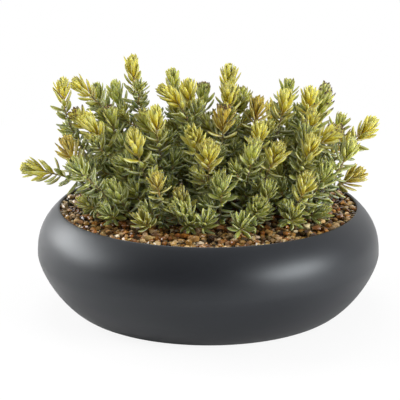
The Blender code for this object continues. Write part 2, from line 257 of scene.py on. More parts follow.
# %% [markdown]
# The sky is white to the camera. As a light it is dimmer, the same from all round. What the
# glossy bowl mirrors is white behind the plant and dark on the camera's side, as in a real
# studio. Three soft boxes do the rest, behind the plant on the left, in front of it on the
# right, and overhead. Point lamps would throw hard shadows, and a sun would light the whole
# bowl alike.

# %% The sky and the lamps
AMBIENT = 0.54                 # how strongly the sky lights the plant
CAMERA_SIDE = 0.24             # how bright the camera's side of the room is in the glaze
TURNS_WHITE = (-0.7, 0.7)      # from the camera's side to the far side, it turns white

world = bpy.data.worlds.new("studio")
scene.world = world
world.use_nodes = True
sky = Wiring(world.node_tree)
rays = sky.node("LightPath").outputs
way = sky.node("TexCoord").outputs["Generated"]
depth = sky.node("SeparateXYZ", {0: way}).outputs["Y"]
mirrored = sky.remap(depth, CAMERA_SIDE, 1, *TURNS_WHITE)
level = sky.node("Mix", {0: rays["Is Glossy Ray"], 2: AMBIENT, 3: mirrored}).outputs[0]
seen = sky.seen(rays)
level = sky.node("Mix", {0: seen, 2: level, 3: 1.0}).outputs[0]
sky.fill(sky.tree.nodes["Background"], {"Color": WHITE, "Strength": level})


def softbox(name, place, width, height, watts):
    """A rectangular lamp that faces the middle of the plant."""
    lamp = bpy.data.lights.new(name, "AREA")
    lamp.shape = "RECTANGLE"
    lamp.size = width
    lamp.size_y = height
    lamp.energy = watts
    box = bpy.data.objects.new(name, lamp)
    box.location = place
    box.rotation_euler = (Vector(place) - LOOK_AT).to_track_quat("Z", "Y").to_euler()
    scene.collection.objects.link(box)


# its name, place, width and height in metres, and watts
softbox("left_box", (-2.2, 0.7, 0.95), 2.1, 1.0, 62)
softbox("right_box", (2.05, -1.25, 0.85), 1.6, 0.85, 67)
softbox("top_box", (-0.3, 1.4, 2.4), 1.4, 1.2, 24)
print("three soft boxes, and", AMBIENT, "of white from all round")

# %% [markdown]
# ## The bowl
#
# The real bowl is turned: its side swells from a flat foot to a belly and rolls back in to a
# thin lip. The construction model has it as flat facets, which would show along the rim, so it
# is turned again here with finer steps. Its driving sizes are measured off the model first.
# A Screw modifier could make it too, but a spin of its section keeps it a plain mesh, closed
# at the poles once the doubles are merged.

# %% Measure the bowl
LEVEL = 0.1 * MM               # corners this close in height are level with each other


def off_axis(point):
    """How far a point is from the bowl's axis."""
    return math.hypot(point.x, point.y)


bowl_points = [vert.co for vert in NODES["bowl"].data.vertices]
low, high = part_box("bowl")
FOOT_RADIUS = max(off_axis(p) for p in bowl_points if p.z < low.z + LEVEL)
BELLY_RADIUS = max(off_axis(p) for p in bowl_points)
BELLY_HEIGHT = max(bowl_points, key=off_axis).z
RIM_HEIGHT = high.z
GRAVEL_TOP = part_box("gravel_bed")[1].z
print("bowl: foot", round(FOOT_RADIUS, 4), "belly", round(BELLY_RADIUS, 4), "at",
      round(BELLY_HEIGHT, 4), "rim at", round(RIM_HEIGHT, 4))

# %% The bowl's section
WALL = 5 * MM
FLOOR_THICKNESS = 8 * MM
LIP_ROUND = 0.8 * MM           # the model's lip is rounded off by this much
RIM_RADIUS = LIP_ROUND + max(off_axis(p) for p in bowl_points if p.z > RIM_HEIGHT - 1 * MM)
FOOT_CURVE = 2 / 1.4           # how tightly the side turns in under the belly
SHOULDER_CURVE = 2.6           # how late the side turns in towards the rim


def side_radius(z):
    """Outer radius of the bowl's side at height z."""
    if z >= BELLY_HEIGHT:
        rise = (z - BELLY_HEIGHT) / (RIM_HEIGHT - BELLY_HEIGHT)
        return BELLY_RADIUS - (BELLY_RADIUS - RIM_RADIUS) * rise ** SHOULDER_CURVE
    sine = ((BELLY_HEIGHT - z) / BELLY_HEIGHT) ** (1 / FOOT_CURVE)
    cosine = math.sqrt(max(0.0, 1 - sine * sine))
    return FOOT_RADIUS + (BELLY_RADIUS - FOOT_RADIUS) * cosine ** FOOT_CURVE


def side_heights(bottom, top, above=14, below=14):
    """Heights down the side, closer together where it turns in under the belly."""
    upper = [top + (BELLY_HEIGHT - top) * i / above for i in range(above + 1)]
    angles = [math.pi / 2 * i / below for i in range(1, below + 1)]
    lower = [BELLY_HEIGHT - (BELLY_HEIGHT - bottom) * math.sin(a) ** FOOT_CURVE for a in angles]
    return upper + lower


def lip_points(steps=8):
    """The wall's round end, from its outer side over the top to its inner side."""
    slope = (side_radius(RIM_HEIGHT) - side_radius(RIM_HEIGHT - MM)) / MM
    climb = Vector((slope, 1)).normalized()
    outward = Vector((climb.y, -climb.x))
    round_by = WALL / 2 * climb.y
    height = RIM_HEIGHT - round_by
    middle = Vector((side_radius(height) - WALL / 2, height))
    turns = [math.pi * i / steps for i in range(steps + 1)]
    return [middle + round_by * (outward * math.cos(a) + climb * math.sin(a)) for a in turns]


lip = lip_points()
outer = [(side_radius(z), z) for z in side_heights(0, lip[0].y)][:0:-1]
inner = [(side_radius(z) - WALL, z) for z in side_heights(FLOOR_THICKNESS, lip[-1].y)][1:]
bowl_section = [(0, 0), *outer, *[tuple(p) for p in lip], *inner, (0, FLOOR_THICKNESS)]
print("bowl section:", len(bowl_section), "points")

# %% Turn the bowl
BOWL_STEPS = 144
BOWL_SHARP = math.radians(50)  # an edge sharper than this stays a sharp line
MERGE = 0.01 * MM              # corners closer than this are one corner


def turned(section, steps):
    """Spin a section in the XZ plane round the Z axis into a closed shell."""
    bm = bmesh.new()
    points = [bm.verts.new((r, 0, z)) for r, z in section]
    edges = [bm.edges.new(pair) for pair in zip(points, points[1:])]
    bmesh.ops.spin(bm, geom=points + edges, axis=(0, 0, 1), cent=(0, 0, 0), dvec=(0, 0, 0),
                   angle=2 * math.pi, steps=steps, use_merge=True)
    bmesh.ops.remove_doubles(bm, verts=bm.verts, dist=MERGE)
    bmesh.ops.recalc_face_normals(bm, faces=bm.faces)
    return bm


# %% [markdown]
# The glaze is a soft charcoal: dark, smooth and a little waxy. A dark colour with a middling
# roughness gives the wide, dim highlight. Two noises, one broad and one fine, keep the sheen
# from being perfectly even, as a rubbed finish never is.

# %% The bowl's finish
glaze = Finish("charcoal_glaze")
broad = glaze.noise(9, detail=4)
fine = glaze.noise(260, detail=2)
CHARCOAL = (0.0064, 0.0070, 0.0096)
LIGHTER_CHARCOAL = (0.0096, 0.0104, 0.0136)
clouds = glaze.ramp(broad, [(0.3, CHARCOAL), (0.7, LIGHTER_CHARCOAL)])
speckle = glaze.greys(fine, [(0.35, 0.85), (0.65, 1.0)])
glaze.fill(glaze.shader, {
    "Base Color": glaze.mix(1.0, clouds, speckle, "MULTIPLY"),
    "Roughness": glaze.remap(broad, 0.36, 0.46),
    "Specular IOR Level": 0.48,
    "Specular Tint": (0.91, 0.965, 1.0, 1),
})
glaze.bump(glaze.noise(90, detail=3), 0.12, 0.2 * MM)

bowl = new_piece("turned_bowl", turned(bowl_section, BOWL_STEPS), glaze)
bowl.data.set_sharp_from_angle(angle=BOWL_SHARP)
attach(bowl, "root")
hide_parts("bowl")
print("bowl:", len(bowl.data.polygons), "faces")

# %% [markdown]
# ## Where each sprig stands
#
# The construction model holds each sprig as a solid with a plain stem, a few leaves and a
# pointed bud at its end. Some carry a low side shoot too, with a bud of its own. Three things
# say how a sprig grows: the middle of its foot, its growing point, and the way its bud points.
# A bud's tip is found by the slim ring of corners just below it, because a leaf is broader.

# %% Read a sprig's foot, growing point and heading
BUD_RADIUS = 2 * MM            # a bud's ring is slimmer than this, and a leaf's is broader


def middle(verts):
    """The mean place of some vertices."""
    return sum((vert.co for vert in verts), Vector()) / len(verts)


def neighbours(vert):
    """The vertices that share an edge with this one."""
    return [edge.other_vert(vert) for edge in vert.link_edges]


def is_bud(vert):
    """Whether this is the sharp point at the end of a bud."""
    ring = neighbours(vert)
    centre = middle(ring)
    return max((other.co - centre).length for other in ring) < BUD_RADIUS


def read_bud(tip):
    """The growing point that a bud stands on, and the way that the bud points."""
    ring = neighbours(tip)
    below = {other for vert in ring for other in neighbours(vert)} - set(ring) - {tip}
    # a set has no order of its own, and the sum's last digit depends on the order
    growing_point = middle(sorted(below, key=lambda vert: vert.index))
    return growing_point, (tip.co - growing_point).normalized()


def read_sprig(node):
    """The middle of a sprig's foot, and its buds from the highest one down."""
    bm = bmesh.new()
    bm.from_mesh(node.data)
    bmesh.ops.remove_doubles(bm, verts=bm.verts, dist=MERGE)
    bm.verts.index_update()
    ground = min(vert.co.z for vert in bm.verts)
    foot = middle([vert for vert in bm.verts if vert.co.z < ground + LEVEL])
    buds = [read_bud(vert) for vert in bm.verts if is_bud(vert)]
    bm.free()
    return foot, sorted(buds, key=lambda bud: -bud[0].z)


SPRIGS = {name: read_sprig(node) for name, node in NODES.items() if name.startswith("sprig_")}
SLOTS = {part["node"]: part["material_slot"] for part in frame["record"]["subparts"]}
print(len(SPRIGS), "sprigs with", sum(len(buds) for _, buds in SPRIGS.values()), "buds")

# %% [markdown]
# ## The growing mix and the bed under the pebbles
#
# Both are hidden but for a dark glimpse between the pebbles, so the model's own solids stay
# and only get a finish: damp bark and peat for the mix, and dark grit for the bed. The bed's
# darkest grit is nearly black, a painted shade for the gaps between the pebbles.

# %% Finish the mix and the bed
DAMP_PEAT = (0.012, 0.008, 0.006)
DRY_BARK = (0.075, 0.05, 0.032)
# painted shade: the darkest grit is nearly black, so the gaps between the pebbles look shaded
GAP_SHADE_GRIT = (0.010, 0.006, 0.004)
BROWN_GRIT = (0.045, 0.025, 0.013)
TAN_GRIT = (0.12, 0.08, 0.045)

mix_finish = Finish("bark_and_peat")
crumbs = mix_finish.noise(420, detail=5, roughness=0.7)
mix_finish.fill(mix_finish.shader, {
    "Base Color": mix_finish.ramp(crumbs, [(0.35, DAMP_PEAT), (0.7, DRY_BARK)]),
    "Roughness": 0.95,
})
mix_finish.bump(crumbs, 0.8, 1.5 * MM)

# The bed's darkest grit is painted shade: nearly black, for the gaps between the pebbles.
bed_finish = Finish("dark_grit")
grit = bed_finish.noise(380, detail=4, roughness=0.6)
bed_finish.fill(bed_finish.shader, {
    "Base Color": bed_finish.ramp(grit, [(0.4, GAP_SHADE_GRIT), (0.62, BROWN_GRIT), (0.75, TAN_GRIT)]),
    "Roughness": bed_finish.remap(grit, 0.7, 0.4),
})
bed_finish.bump(grit, 0.9, 1.5 * MM)

for name, finish in (("growing_mix", mix_finish), ("gravel_bed", bed_finish)):
    node = NODES[name]
    node.data.materials.clear()
    node.data.materials.append(finish.material)
    print("finished:", name)

# %% [markdown]
# ## The gravel topping
#
# The topping is washed river gravel: rounded, glossy pebbles of cream, honey, rust and dark
# brown, a few millimetres across. Each is a real shape, because the lit tops and the dark gaps
# between them are what gravel looks like. Thousands are needed, so a pebble has only a few
# dozen faces. Noise dents a sphere into a handful of shapes, and copies of them are turned,
# stretched and laid in the bed.
#
# Particles would scatter them in one step, but a plain loop leaves a mesh and keeps them off
# the stems. The largest are thrown first, and the small ones fill what is left. The gravel has
# a chance of its own, so a change to it doesn't grow another plant.

# %% Pebble shapes
PEBBLE_KINDS = 7
DENT = 0.5                     # how deep the noise dents a pebble
DENTS = 2.4                    # how close together the dents are


def pebble_shape(number):
    """A dented, rounded pebble, one unit across."""
    bm = bmesh.new()
    bmesh.ops.create_uvsphere(bm, u_segments=7, v_segments=5, radius=0.5)
    where = Vector((number * 9.1, 3.7, -number * 4.3))
    for vert in bm.verts:
        vert.co *= 1 + DENT * noise.noise(vert.co * DENTS + where)
    return new_mesh(f"pebble_shape_{number}", bm)


pebble_shapes = [pebble_shape(number) for number in range(PEBBLE_KINDS)]
print(PEBBLE_KINDS, "pebble shapes of", len(pebble_shapes[0].polygons), "faces")

# %% Find a place for each pebble
PEBBLE_SIZES = (9 * MM, 7.4 * MM, 6.2 * MM, 5 * MM, 4 * MM, 3.2 * MM)
TRIES = (180, 900, 3500, 8000, 8000, 9000)  # how often each size is thrown
PACKING = 0.47                 # centres keep this share of the two sizes' sum apart
STEM_CLEAR = 1.6 * MM
OFF_THE_WALL = 0.42            # of its size, from a pebble's middle to the wall
WIDTH_CHANCE = (0.9, 1.1)      # of its size, how wide a pebble is
BED_RADIUS = side_radius(GRAVEL_TOP) - WALL
CELL = 10 * MM                 # neighbours are looked up in squares of this size
LOT = random.Random(3)         # the gravel's own chance, apart from the plant's


def scatter():
    """Throw pebbles at the bed, largest first, and keep those that land in a free place."""
    grid = {}
    kept = []

    def square(x, y):
        """The square of the grid that a place is in."""
        return int(x // CELL), int(y // CELL)

    def near(x, y):
        """What lies in a place's square and in the squares round it."""
        column, row = square(x, y)
        return (item for i in (-1, 0, 1) for j in (-1, 0, 1)
                for item in grid.get((column + i, row + j), ()))

    for foot, _ in SPRIGS.values():
        stem = (foot.x, foot.y, 2 * STEM_CLEAR)
        grid.setdefault(square(foot.x, foot.y), []).append(stem)
    for size, tries in zip(PEBBLE_SIZES, TRIES):
        for _ in range(tries):
            reach = (BED_RADIUS - OFF_THE_WALL * size) * math.sqrt(LOT.random())
            turn = LOT.uniform(0, 2 * math.pi)
            x, y = reach * math.cos(turn), reach * math.sin(turn)
            width = size * LOT.uniform(*WIDTH_CHANCE)
            if all(math.hypot(x - a, y - b) > PACKING * (width + w) for a, b, w in near(x, y)):
                grid.setdefault(square(x, y), []).append((x, y, width))
                kept.append((x, y, width))
    return kept


pebble_places = scatter()
print(len(pebble_places), "pebbles")

# %% [markdown]
# The pebbles' colours are written into the mesh, one colour a pebble, as an attribute that
# the finish reads. A material for each colour would do too, but it would take dozens. Each
# family of colour is a piece of its own, so that each stays light to work with.

# %% Pebble colours
PEBBLE_FAMILIES = {
    "pebbles_cream": (0.34, [(0.76, 0.51, 0.24), (0.66, 0.41, 0.15), (0.86, 0.68, 0.43),
                             (0.60, 0.40, 0.18)]),
    "pebbles_honey": (0.44, [(0.50, 0.22, 0.04), (0.40, 0.15, 0.03), (0.54, 0.29, 0.08),
                             (0.29, 0.11, 0.025), (0.42, 0.23, 0.075)]),
    "pebbles_brown": (0.22, [(0.15, 0.06, 0.018), (0.08, 0.035, 0.012), (0.20, 0.095, 0.035),
                             (0.05, 0.025, 0.012), (0.18, 0.11, 0.05)]),
}


def pebble_finish(name):
    """Wet-looking stone: its own colour, clouded a little, under a gloss."""
    finish = Finish(name)
    own = finish.attribute("stone", "Color")
    clouds = finish.noise(500, detail=4, roughness=0.6)
    shade = finish.greys(clouds, [(0.3, 0.55), (0.6, 1.0)])
    finish.fill(finish.shader, {
        "Base Color": finish.mix(1.0, own, shade, "MULTIPLY"),
        "Roughness": finish.remap(clouds, 0.10, 0.28),
    })
    return finish


# %% [markdown]
# A pebble near the edge of the bed may touch the bowl's wall, but it doesn't come out of it: one
# that would is pushed back towards the middle.

# %% Lay one pebble
FLATNESS = (0.62, 0.9)         # of its width, how thick a pebble is
STRETCH = (1.0, 1.25)          # of its width, how long it is
NARROW = 0.95                  # of its width, how broad it is
TILT = 0.5                     # radians either way
STANDS_PROUD = (0.0, 0.6)      # of its width, how high its middle is above the bed
WALL_TOUCH = 1 * MM            # how far a pebble may press into the bowl's wall
LIGHTNESS = (0.4, 0.95)        # of its family's colours
GREENNESS = (0.92, 1.06)
BLUENESS = (0.85, 1.1)


def lay_pebble(bm, place, colour_layer, colours):
    """One pebble, turned at random, partly sunk in the bed."""
    x, y, width = place
    pebble = LOT.choice(pebble_shapes).copy()
    flat = LOT.uniform(*FLATNESS)
    long = LOT.uniform(*STRETCH)
    stretch = Matrix.Diagonal((width * long, width * NARROW, width * flat, 1))
    tilt = Matrix.Rotation(LOT.uniform(-TILT, TILT), 4, "X")
    spin = Matrix.Rotation(LOT.uniform(0, 2 * math.pi), 4, "Z")
    z = GRAVEL_TOP + width * LOT.uniform(*STANDS_PROUD)
    pebble.transform(Matrix.Translation((x, y, z)) @ spin @ tilt @ stretch)
    over = max(off_axis(vert.co) - side_radius(vert.co.z) + WALL for vert in pebble.vertices)
    if over > WALL_TOUCH:
        inward = Vector((-x, -y, 0)).normalized()
        pebble.transform(Matrix.Translation(inward * (over - WALL_TOUCH)))
    red, green, blue = LOT.choice(colours)
    light = LOT.uniform(*LIGHTNESS)
    green *= LOT.uniform(*GREENNESS)
    blue *= LOT.uniform(*BLUENESS)
    colour = (red * light, green * light, blue * light, 1)
    move_into(bm, pebble, [(colour_layer, colour)])


# %% Lay the pebbles
PEBBLE_SHARP = math.radians(42)  # an edge sharper than this stays a sharp line

families = list(PEBBLE_FAMILIES)
shares = [PEBBLE_FAMILIES[name][0] for name in families]
sorted_places = {name: [] for name in families}
for place in pebble_places:
    sorted_places[LOT.choices(families, shares)[0]].append(place)

for name in families:
    bm = bmesh.new()
    layer = bm.verts.layers.float_color.new("stone")
    for place in sorted_places[name]:
        lay_pebble(bm, place, layer, PEBBLE_FAMILIES[name][1])
    pebbles = new_piece(name, bm, pebble_finish(name))
    pebbles.data.set_sharp_from_angle(angle=PEBBLE_SHARP)
    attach(pebbles, "root")
    print(name, len(sorted_places[name]), "pebbles,", len(pebbles.data.polygons), "faces")

# %% [markdown]
# ## A leaf
#
# Every leaf of a burro's tail is a small plump blade: narrow where it joins the stem, widest
# past its middle, with a flat upper side, a rounded back and a short point, and it bends up
# like a sickle. A stretched sphere would be simpler, but it has neither the flat side nor the
# point. So the leaf is drawn out from a short cylinder: its end face is extruded a few times,
# each new end is moved to its place on the bend, and the last one is poked to a point.
#
# Young leaves are thin and nearly straight, the ones below them plump and bent the most, and
# the oldest relax again. So three leaves are made, of a few dozen faces each, and every leaf on
# the plant is a copy of one of them.

# %% Leaf shapes
LEAF_LENGTH = 18 * MM
LEAF_WIDTH = 4.9 * MM
YOUNG_THICKNESS = 2.7 * MM
OLD_THICKNESS = 3.6 * MM
LEAF_SIDES = 6
BEND_STEPS = 24                # the bend is added up in steps this many to a leaf
FLAT_TOP = 0.40                # how high the upper side stands, as a share of the back
PLUMP = 0.15                   # how much fuller a leaf's ends are in thickness than in width
# how far along the leaf each ring is, and how wide it is there, as shares of the whole
LEAF_RINGS = ((0.0, 0.30), (0.12, 0.50), (0.33, 0.86), (0.56, 1.0), (0.77, 0.80), (0.91, 0.42))


def leaf_place(share, bend):
    """A point of the leaf's middle line, and how far it has turned up there."""
    y = z = 0
    for i in range(round(share * BEND_STEPS)):
        turn = bend * ((i + 0.5) / BEND_STEPS - 0.5)
        y += math.cos(turn) * LEAF_LENGTH / BEND_STEPS
        z += math.sin(turn) * LEAF_LENGTH / BEND_STEPS
    return Vector((0, y, z)), bend * (share - 0.5)


def set_ring(face, layers, share, fullness, bend, thickness):
    """Move the corners of one end face to their ring round the middle line."""
    centre, turn = leaf_place(share, bend)
    over = Vector((0, -math.sin(turn), math.cos(turn)))
    swell = min(1.0, fullness + PLUMP)
    for vert in face.verts:
        angle = vert[layers["corner_angle"]]
        height = math.sin(angle) * (FLAT_TOP if math.sin(angle) > 0 else 1)
        sideways = Vector((math.cos(angle) * fullness * LEAF_WIDTH / 2, 0, 0))
        vert.co = centre + sideways + over * height * swell * thickness / 2
        vert[layers["along"]] = share
        vert[layers["rim"]] = abs(math.cos(angle))


def leaf_shape(name, bend_degrees, thickness):
    """One leaf along +Y, its upper side up. Each vertex says how far along the leaf it is and
    how near its rim."""
    bend = math.radians(bend_degrees)
    bm = bmesh.new()
    layers = {key: bm.verts.layers.float.new(key) for key in ("along", "rim", "corner_angle")}
    bmesh.ops.create_cone(bm, cap_ends=True, segments=LEAF_SIDES, radius1=1, radius2=1, depth=1)
    for vert in bm.verts:
        vert[layers["corner_angle"]] = math.atan2(vert.co.y, vert.co.x)
    base = min(bm.faces, key=lambda face: face.calc_center_median().z)
    end = max(bm.faces, key=lambda face: face.calc_center_median().z)
    set_ring(base, layers, *LEAF_RINGS[0], bend, thickness)
    set_ring(end, layers, *LEAF_RINGS[1], bend, thickness)
    for share, fullness in LEAF_RINGS[2:]:
        end = bmesh.ops.extrude_discrete_faces(bm, faces=[end])["faces"][0]
        set_ring(end, layers, share, fullness, bend, thickness)
    tip = bmesh.ops.poke(bm, faces=[end])["verts"][0]
    tip.co = leaf_place(1, bend)[0]
    tip[layers["along"]] = 1
    bmesh.ops.recalc_face_normals(bm, faces=bm.faces)
    bm.verts.layers.float.remove(bm.verts.layers.float["corner_angle"])
    return new_mesh(name, bm)


YOUNG_LEAF = leaf_shape("young_leaf", bend_degrees=14, thickness=YOUNG_THICKNESS)
SICKLE_LEAF = leaf_shape("sickle_leaf", bend_degrees=24, thickness=OLD_THICKNESS)
OLD_LEAF = leaf_shape("old_leaf", bend_degrees=16, thickness=OLD_THICKNESS)
print("a leaf has", len(SICKLE_LEAF.polygons), "faces")

# %% [markdown]
# ## A sprig
#
# A sprig's stem rises straight from the gravel and bends over to the way its head looks. Its
# leaves go round it by the golden angle, so that none stands right above another. Close to
# the growing point they are young, upright and packed together, which makes the tufted head.
# The innermost are short and the outer ones long, so that their points end level, like a
# brush. Lower down the leaves are older, and they spread and stand further apart, so that the
# stem shows between them.
#
# Geometry nodes could scatter the leaves on the stem. A rule in a loop is as short and leaves
# a plain mesh: how far a leaf is below the growing point says how long it is, how far it
# spreads, how curled it is and how young its colour is. The rule is a few short tables that
# are read between their entries.

# %% The stem's line
STEM_RADIUS = 1.25 * MM
STEM_TIP_RADIUS = 0.8 * MM
STEM_SIDES = 6
STEM_RING = 5 * MM             # from one ring of a stem to the next
GOLDEN_ANGLE = math.radians(137.5)
UP = Vector((0, 0, 1))


class StemLine:
    """A smooth line from the gravel to the growing point, measured along its length."""

    PULL = 0.4                 # how strongly its ends keep their direction
    STEPS = 60

    def __init__(self, start, setting_out, growing_point, heading):
        pull = self.PULL * (growing_point - start).length
        corners = [start, start + setting_out * pull, growing_point - heading * pull,
                   growing_point]
        self.points = [self.between(corners, i / self.STEPS) for i in range(self.STEPS + 1)]
        self.lengths = [0]
        for a, b in zip(self.points, self.points[1:]):
            self.lengths.append(self.lengths[-1] + (b - a).length)
        self.length = self.lengths[-1]

    @staticmethod
    def between(corners, t):
        """A point of the Bezier curve that the corners give."""
        while len(corners) > 1:
            corners = [a.lerp(b, t) for a, b in zip(corners, corners[1:])]
        return corners[0]

    def at(self, distance):
        """The place and direction of the stem at a distance above the gravel."""
        i = min(max(bisect.bisect_right(self.lengths, distance) - 1, 0), self.STEPS - 1)
        a, b = self.points[i], self.points[i + 1]
        share = (distance - self.lengths[i]) / (self.lengths[i + 1] - self.lengths[i])
        return a.lerp(b, share), (b - a).normalized()


def read_table(table, value):
    """The entry of a table of (place, entry) pairs at a value, with straight lines between."""
    for (a, low), (b, high) in zip(table, table[1:]):
        if value <= b:
            return low + (high - low) * max(0.0, value - a) / (b - a)
    return table[-1][1]


# %% The rule that places the leaves
# Each table goes by the distance below the growing point, in millimetres.
# The degrees between a leaf and its stem:
SPREAD = ((0, 6), (3, 13), (6, 19), (9, 25), (12, 32), (15, 42), (20, 54), (30, 63), (50, 72),
          (90, 98))
# The shares of a leaf's full length and width:
LENGTH = ((0, 0.66), (3, 0.86), (6, 1.04), (9, 1.13), (12, 1.08), (15, 1.0), (20, 0.94),
          (40, 0.88), (80, 0.78))
WIDTH = ((0, 0.72), (5, 0.92), (12, 1.02), (18, 1.06), (30, 1.18), (60, 1.2))
# The millimetres down the stem to the next leaf:
GAP = ((0, 0.35), (4, 0.42), (9, 0.55), (13, 0.8), (16, 1.7), (24, 2.35), (30, 2.25), (60, 2.2))
# How much of its young colour a leaf still has:
YOUTH = ((0, 1.0), (11, 1.0), (16, 0.72), (22, 0.38), (32, 0.15), (48, 0.0))
YOUNG_UNTIL = 13               # nearer the growing point than this, leaves are the young kind
SICKLE_UNTIL = 34              # and further away than this, the old kind

# %% Where a leaf may go
LEAF_IN_BOX = 1 * MM           # a leaf's point keeps this far inside the model's box
LEAF_OVER_RIM = 3 * MM         # one that is lower than this above the rim
LEAF_OFF_RIM = 9 * MM          # keeps this far inside the rim
LEAF_ABOVE_BED = 4 * MM        # every point keeps this far above the gravel


def way_out(axis, turn):
    """The direction straight out of a stem, by turn round it."""
    north = axis.cross(Vector((1, 0, 0))).normalized()
    east = north.cross(axis)
    return east * math.cos(turn) + north * math.sin(turn)


def leaf_matrix(base, axis, turn, spread, twist):
    """Where a leaf goes: out of the stem at base, by turn round it and spread from it."""
    out = way_out(axis, turn)
    heading = out * math.sin(spread) + axis * math.cos(spread)
    over = (axis - heading * axis.dot(heading)).normalized()
    across = heading.cross(over)
    place = Matrix((across, heading, over)).transposed().to_4x4()
    place.translation = base + out * STEM_TIP_RADIUS
    return place @ Matrix.Rotation(twist, 4, "Y")


def has_room(place, length):
    """Whether a leaf keeps above the gravel, inside the rim and inside the model's box."""
    tip = place @ Vector((0, length, 0))
    if any(not a + LEAF_IN_BOX < x < b - LEAF_IN_BOX for x, a, b in zip(tip, *CAD_BOX)):
        return False
    if tip.z < RIM_HEIGHT + LEAF_OVER_RIM and off_axis(tip) > RIM_RADIUS - LEAF_OFF_RIM:
        return False
    return tip.z > GRAVEL_TOP + LEAF_ABOVE_BED


# %% [markdown]
# No two sprigs grow alike. A habit says how one stem differs from the rule: the size of its
# leaves, how far its head reaches down the stem, how open it is, how old its youngest leaves
# look, how golden it is, how dark its points are and where its leaves stop. The highest heads
# are slim, because they got the most light. Low heads in the middle of the mound stay green,
# and a head at its edge is as golden as a higher one. A few heads have ways of their own.

# %% Habits of growth
Habit = namedtuple("Habit", "size reach openness age freshness scorch lowest")
SCORCHED = (0.1, 0.4, 0.7, 1.0)  # how dark the points of a head's young leaves are
HIGH = 255 * MM                # heads above this are slim
SLIM_SCORCH = 0.4              # of another head's
SLIM_SIZE = (1.0, 1.1)
SLIM_OPENNESS = (0.7, 0.85)
BROAD_SIZE = (1.0, 1.25)
BROAD_OPENNESS = (0.8, 1.2)
FRESHNESS = ((130, 0.4), (170, 0.7), (210, 1.0))  # how golden a head is, by its light
CROWDED_RADIUS = 120 * MM      # heads inside this only get light from above
EDGE_LIGHT = 0.6               # how much height a step out towards the edge is worth
LOWEST_LEAF = 5 * MM           # above the gravel
LOWEST_SHOOT_LEAF = 3 * MM     # from its stem

Ways = namedtuple("Ways", "size openness age freshness scorch")
SMALL_SHOOT = Ways((0.7, 0.95), (0.9, 1.4), (0, 6), (0.05, 0.45), 1.0)
LOW_SHOOT = Ways((0.85, 1.1), (0.75, 1.25), (1, 7), (0.15, 0.45), 0.5)
SMALL_REACH = 0.9              # of the rule's, how far a small shoot's head reaches down

Own = namedtuple("Own", "long broad fresh", defaults=(1.0, 1.0, 1.0))
OWN_WAYS = {                   # how many times as long, broad and fresh these heads are
    "sprig_right_4": Own(1.8, 1.3),
    "sprig_right_5": Own(1.4),
    "sprig_middle_3": Own(1.4),
    "sprig_middle_right_1": Own(1.4, 1.1),
    "sprig_middle_right_4": Own(1.3),
    "sprig_middle_left_8": Own(1.2, 1.1, 1.3),
    "sprig_middle_1": Own(1.0, 0.75),
    "sprig_middle_7": Own(1.0, 1.2),
    "sprig_left_7": Own(1.3, 1.0, 0.3),
    "sprig_left_1": Own(1.3, 1.18, 0.7),
}


def main_habit(name, growing_point):
    """How the leaves of a main stem grow: some heads are slim and some broad and open."""
    own = OWN_WAYS.get(name, Own())
    scorch = CHANCE.choice(SCORCHED)
    if growing_point.z > HIGH:
        scorch *= SLIM_SCORCH
        size = CHANCE.uniform(*SLIM_SIZE)
        openness = CHANCE.uniform(*SLIM_OPENNESS)
    else:
        size = CHANCE.uniform(*BROAD_SIZE)
        openness = CHANCE.uniform(*BROAD_OPENNESS)
    size *= own.broad
    freed = max(0.0, off_axis(growing_point) - CROWDED_RADIUS)
    light = growing_point.z + EDGE_LIGHT * freed
    freshness = min(1.0, own.fresh * read_table(FRESHNESS, light / MM))
    return Habit(size, size * own.long, openness, 0, freshness, scorch, LOWEST_LEAF)


def shoot_habit(ways, reach=None):
    """How the leaves of a side shoot grow: like a head's, but not yet as golden."""
    size, openness, age, freshness = (CHANCE.uniform(*way) for way in ways[:4])
    scorch = ways.scorch * CHANCE.choice(SCORCHED)
    return Habit(size, reach or size, openness, age, freshness, scorch, LOWEST_SHOOT_LEAF)


print(len(OWN_WAYS), "heads have ways of their own")

# %% [markdown]
# A stem is a tube drawn out along its line, a ring at a time, in the way a leaf is. A curve
# with a bevel would do as well. Made in the same bmesh as its leaves, it can carry the same
# values for the finish to read, and a sprig stays one mesh. The leaves then go round it from
# the growing point down. One that would reach into the gravel or the rim is turned up a
# little, and if that isn't enough, it is left out.

# %% Grow a stem
def grow_stem(bm, line, root, layers, thickness=1.0):
    """A tube along a line to its growing point, starting with a straight piece from root."""
    start, axis = line.at(0)
    radius = STEM_RADIUS * thickness
    stem = bmesh.ops.create_cone(bm, cap_ends=True, segments=STEM_SIDES, radius1=radius,
                                 radius2=radius, depth=(start - root).length)["verts"]
    lean = UP.rotation_difference(start - root).to_matrix().to_4x4()
    bmesh.ops.transform(bm, matrix=Matrix.Translation((root + start) / 2) @ lean, verts=stem)
    caps = {face for vert in stem for face in vert.link_faces if len(face.verts) == STEM_SIDES}
    end = min(caps, key=lambda face: (face.calc_center_median() - start).length)
    centre = start
    rings = max(2, round(line.length / STEM_RING))
    taper = (STEM_TIP_RADIUS / STEM_RADIUS) ** (1 / rings)
    for ring in range(1, rings + 1):
        end = bmesh.ops.extrude_discrete_faces(bm, faces=[end])["faces"][0]
        onward, ahead = line.at(line.length * ring / rings)
        turn = axis.rotation_difference(ahead)
        for vert in end.verts:
            vert.co = onward + turn @ (vert.co - centre) * taper
        stem += end.verts
        centre, axis = onward, ahead
    growing_point = line.points[-1]
    for vert in stem:
        vert[layers["wood"]] = 1
        vert[layers["youth"]] = read_table(YOUTH, (growing_point - vert.co).length / MM)


# %% Grow its leaves
SPREAD_CHANCE = 12             # degrees either way
TWIST_CHANCE = 40
TURN_CHANCE = 9
LENGTH_CHANCE = (0.9, 1.08)
WIDE_CHANCE = (0.9, 1.1)
GAP_CHANCE = (0.85, 1.15)
LEAST_SPREAD = 3               # degrees
STEEPER = (0, 14, 28)          # degrees a leaf may turn up to find room


